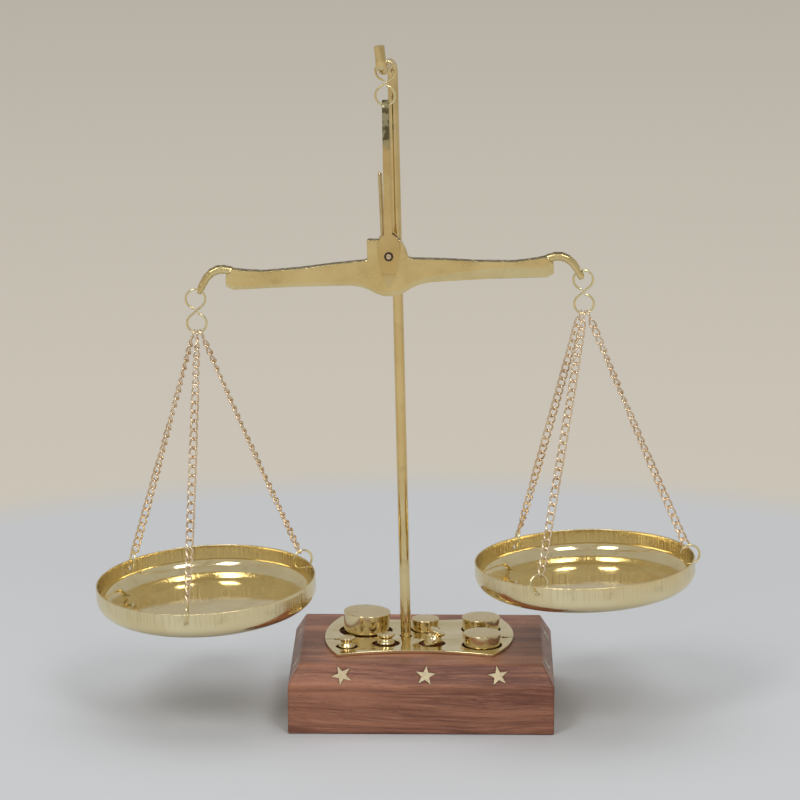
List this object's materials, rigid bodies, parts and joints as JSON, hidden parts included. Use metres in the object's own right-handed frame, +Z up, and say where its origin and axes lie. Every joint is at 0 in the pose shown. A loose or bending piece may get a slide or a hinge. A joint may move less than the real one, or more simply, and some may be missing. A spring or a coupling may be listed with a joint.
{
  "type": "balance scale",
  "caption": "Equal-arm brass balance hung from a bent post on a wooden block with star inlays: beam, pointer, chained pans, and weights in a plate with wells.",
  "frame": {"origin": "middle of the wooden block's underside", "axes": "+Z up along the post; the front of the scale faces -Y; +X towards the right-hand pan"},
  "size_m": [0.2775, 0.1121, 0.3115],
  "materials": {
    "rosewood": "oiled reddish brown hardwood, satin",
    "polished_brass": "polished brass",
    "cast_brass": "cast brass, filed and buffed",
    "spun_brass": "spun brass with a mirror floor and a brushed wall",
    "wire_brass": "bright drawn brass wire",
    "chain_brass": "pale brass curb chain",
    "turned_brass": "turned brass with brushed tops",
    "inlay_brass": "sanded flat brass",
    "zinc_steel": "zinc-plated steel"
  },
  "bodies": {
    "stand": {"base_block": "rosewood", "star_front_1": "inlay_brass", "star_front_2": "inlay_brass", "star_front_3": "inlay_brass", "star_right_1": "inlay_brass", "star_right_2": "inlay_brass", "star_back_1": "inlay_brass", "star_back_2": "inlay_brass", "star_back_3": "inlay_brass", "star_left_1": "inlay_brass", "star_left_2": "inlay_brass", "weight_plate": "polished_brass", "plate_nail_left": "cast_brass", "plate_nail_right": "cast_brass", "post": "polished_brass", "post_washer": "zinc_steel", "post_nut": "zinc_steel"},
    "top_hook": {"top_s_hook": "wire_brass"},
    "suspension": {"fork": "polished_brass", "pivot_pin": "cast_brass"},
    "balance": {"beam": "cast_brass", "pointer": "polished_brass"},
    "left_hook": {"left_s_hook": "wire_brass"},
    "left_links": {"left_left_end_link": "chain_brass", "left_front_end_link": "chain_brass", "left_right_end_link": "chain_brass"},
    "left_pan_set": {"left_pan": "spun_brass", "left_left_chain": "chain_brass", "left_left_jump_ring": "wire_brass", "left_front_chain": "chain_brass", "left_front_jump_ring": "wire_brass", "left_right_chain": "chain_brass", "left_right_jump_ring": "wire_brass"},
    "right_hook": {"right_s_hook": "wire_brass"},
    "right_links": {"right_left_end_link": "chain_brass", "right_front_end_link": "chain_brass", "right_right_end_link": "chain_brass"},
    "right_pan_set": {"right_pan": "spun_brass", "right_left_chain": "chain_brass", "right_left_jump_ring": "wire_brass", "right_front_chain": "chain_brass", "right_front_jump_ring": "wire_brass", "right_right_chain": "chain_brass", "right_right_jump_ring": "wire_brass"},
    "weight_50g": {"weight_50g": "turned_brass"},
    "weight_20g_back": {"weight_20g_back": "turned_brass"},
    "weight_20g_front": {"weight_20g_front": "turned_brass"},
    "weight_10g": {"weight_10g": "turned_brass"},
    "weight_5g": {"weight_5g": "turned_brass"},
    "weight_2g_left": {"weight_2g_left": "turned_brass"},
    "weight_2g_right": {"weight_2g_right": "turned_brass"}
  },
  "joints": [
    {"name": "top_hook_swing", "type": "hinge", "parent": "stand", "child": "top_hook", "pos_m": [-0.0167, -0.013, 0.3], "axis": [0, 1, 0], "range_deg": [-5, 5]},
    {"name": "fork_tilt", "type": "hinge", "parent": "top_hook", "child": "suspension", "pos_m": [-0.0167, -0.013, 0.2833], "axis": [1, 0, 0], "range_deg": [-12, 3]},
    {"name": "beam_rock", "type": "hinge", "parent": "suspension", "child": "balance", "pos_m": [-0.0151, -0.013, 0.2153], "axis": [0, -1, 0], "range_deg": [-10, 6]},
    {"name": "left_hook_turn", "type": "hinge", "parent": "balance", "child": "left_hook", "pos_m": [-0.10066, -0.013, 0.19868], "axis": [0, -1, 0], "range_deg": [-6, 10]},
    {"name": "left_pan_sway", "type": "hinge", "parent": "left_hook", "child": "left_links", "pos_m": [-0.10185, -0.013, 0.17913], "axis": [0, 1, 0], "range_deg": [-4, 5]},
    {"name": "left_pan_swing", "type": "hinge", "parent": "left_links", "child": "left_pan_set", "pos_m": [-0.10185, -0.013, 0.17913], "axis": [1, 0, 0], "range_deg": [-8, 8]},
    {"name": "right_hook_turn", "type": "hinge", "parent": "balance", "child": "right_hook", "pos_m": [0.0702, -0.013, 0.20798], "axis": [0, -1, 0], "range_deg": [-6, 10]},
    {"name": "right_pan_sway", "type": "hinge", "parent": "right_hook", "child": "right_links", "pos_m": [0.0732, -0.013, 0.18865], "axis": [0, -1, 0], "range_deg": [-4, 5]},
    {"name": "right_pan_swing", "type": "hinge", "parent": "right_links", "child": "right_pan_set", "pos_m": [0.0732, -0.013, 0.18865], "axis": [1, 0, 0], "range_deg": [-8, 8]},
    {"name": "weight_50g_lift", "type": "slide", "parent": "stand", "child": "weight_50g", "axis": [0, 0, 1], "range_m": [0, 0.012]},
    {"name": "weight_20g_back_lift", "type": "slide", "parent": "stand", "child": "weight_20g_back", "axis": [0, 0, 1], "range_m": [0, 0.008]},
    {"name": "weight_20g_front_lift", "type": "slide", "parent": "stand", "child": "weight_20g_front", "axis": [0, 0, 1], "range_m": [0, 0.008]},
    {"name": "weight_10g_lift", "type": "slide", "parent": "stand", "child": "weight_10g", "axis": [0, 0, 1], "range_m": [0, 0.009]},
    {"name": "weight_5g_lift", "type": "slide", "parent": "stand", "child": "weight_5g", "axis": [0, 0, 1], "range_m": [0, 0.009]},
    {"name": "weight_2g_left_lift", "type": "slide", "parent": "stand", "child": "weight_2g_left", "axis": [0, 0, 1], "range_m": [0, 0.009]},
    {"name": "weight_2g_right_lift", "type": "slide", "parent": "stand", "child": "weight_2g_right", "axis": [0, 0, 1], "range_m": [0, 0.009]}
  ],
  "couplings": [
    {"joint": "left_hook_turn", "follows": "beam_rock", "ratio": -1},
    {"joint": "right_hook_turn", "follows": "beam_rock", "ratio": -1}
  ]
}
